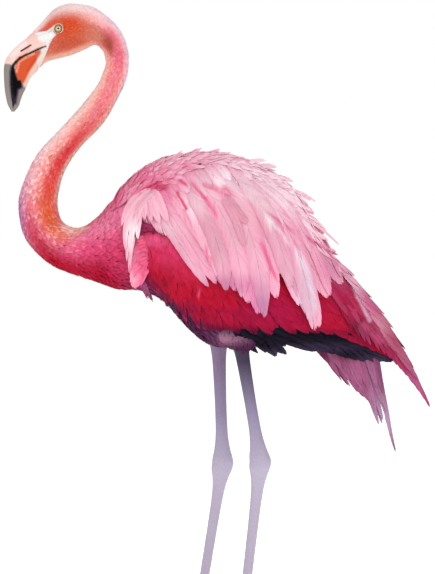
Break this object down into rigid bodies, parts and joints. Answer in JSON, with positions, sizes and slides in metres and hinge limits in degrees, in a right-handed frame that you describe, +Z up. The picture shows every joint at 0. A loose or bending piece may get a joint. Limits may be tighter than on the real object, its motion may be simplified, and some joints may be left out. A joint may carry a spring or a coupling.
{
  "type": "flamingo, life-size still model",
  "caption": "Life-size flamingo standing in mid stride with its neck in an S, wings folded and long feathers drooping over the back.",
  "frame": {"origin": "on the floor, below the middle of the bird's length and width, level with the soles", "axes": "+Z up, the bird faces -X, its left side is -Y"},
  "size_m": [0.6187, 0.188, 0.973],
  "materials": {
    "coral_feathers": "short close feathering of the head, matt",
    "neck_feathers": "short soft feathering of the neck, matt",
    "rose_feathers": "soft contour feathering, matt",
    "pale_feathers": "long drooping vanes, matt with a faint silk along the barbs",
    "crimson_feathers": "dense wing coverts, matt",
    "mauve_feathers": "long plumes and tail feathers, matt",
    "black_feathers": "stiff flight feathers, slight satin",
    "pale_horn": "smooth horn of the bill, satin",
    "dark_horn": "smooth dark horn of the bill, satin",
    "leg_skin": "bare scaled leg skin, satin",
    "claw_horn": "horn of the claws, satin",
    "eye": "wet glossy eyeball, opaque"
  },
  "bodies": {
    "root": {"head": "coral_feathers", "neck_upper": "neck_feathers", "neck_middle": "neck_feathers", "neck_lower": "rose_feathers", "trunk": "rose_feathers", "eye_left": "eye", "eye_right": "eye", "bill_upper": "pale_horn", "bill_lower": "dark_horn", "wing_left": "crimson_feathers", "wing_right": "crimson_feathers", "flight_feathers_left": "black_feathers", "flight_feathers_right": "black_feathers", "plumes_left": "mauve_feathers", "plumes_right": "mauve_feathers", "scapulars_left": "pale_feathers", "scapulars_right": "pale_feathers", "tail": "mauve_feathers", "thigh_left": "rose_feathers", "shank_left": "leg_skin", "tarsus_left": "leg_skin", "foot_left": "leg_skin", "claw_inner_left": "claw_horn", "claw_middle_left": "claw_horn", "claw_outer_left": "claw_horn", "claw_hind_left": "claw_horn", "thigh_right": "rose_feathers", "shank_right": "leg_skin", "tarsus_right": "leg_skin", "foot_right": "leg_skin", "claw_inner_right": "claw_horn", "claw_middle_right": "claw_horn", "claw_outer_right": "claw_horn", "claw_hind_right": "claw_horn"}
  },
  "joints": []
}
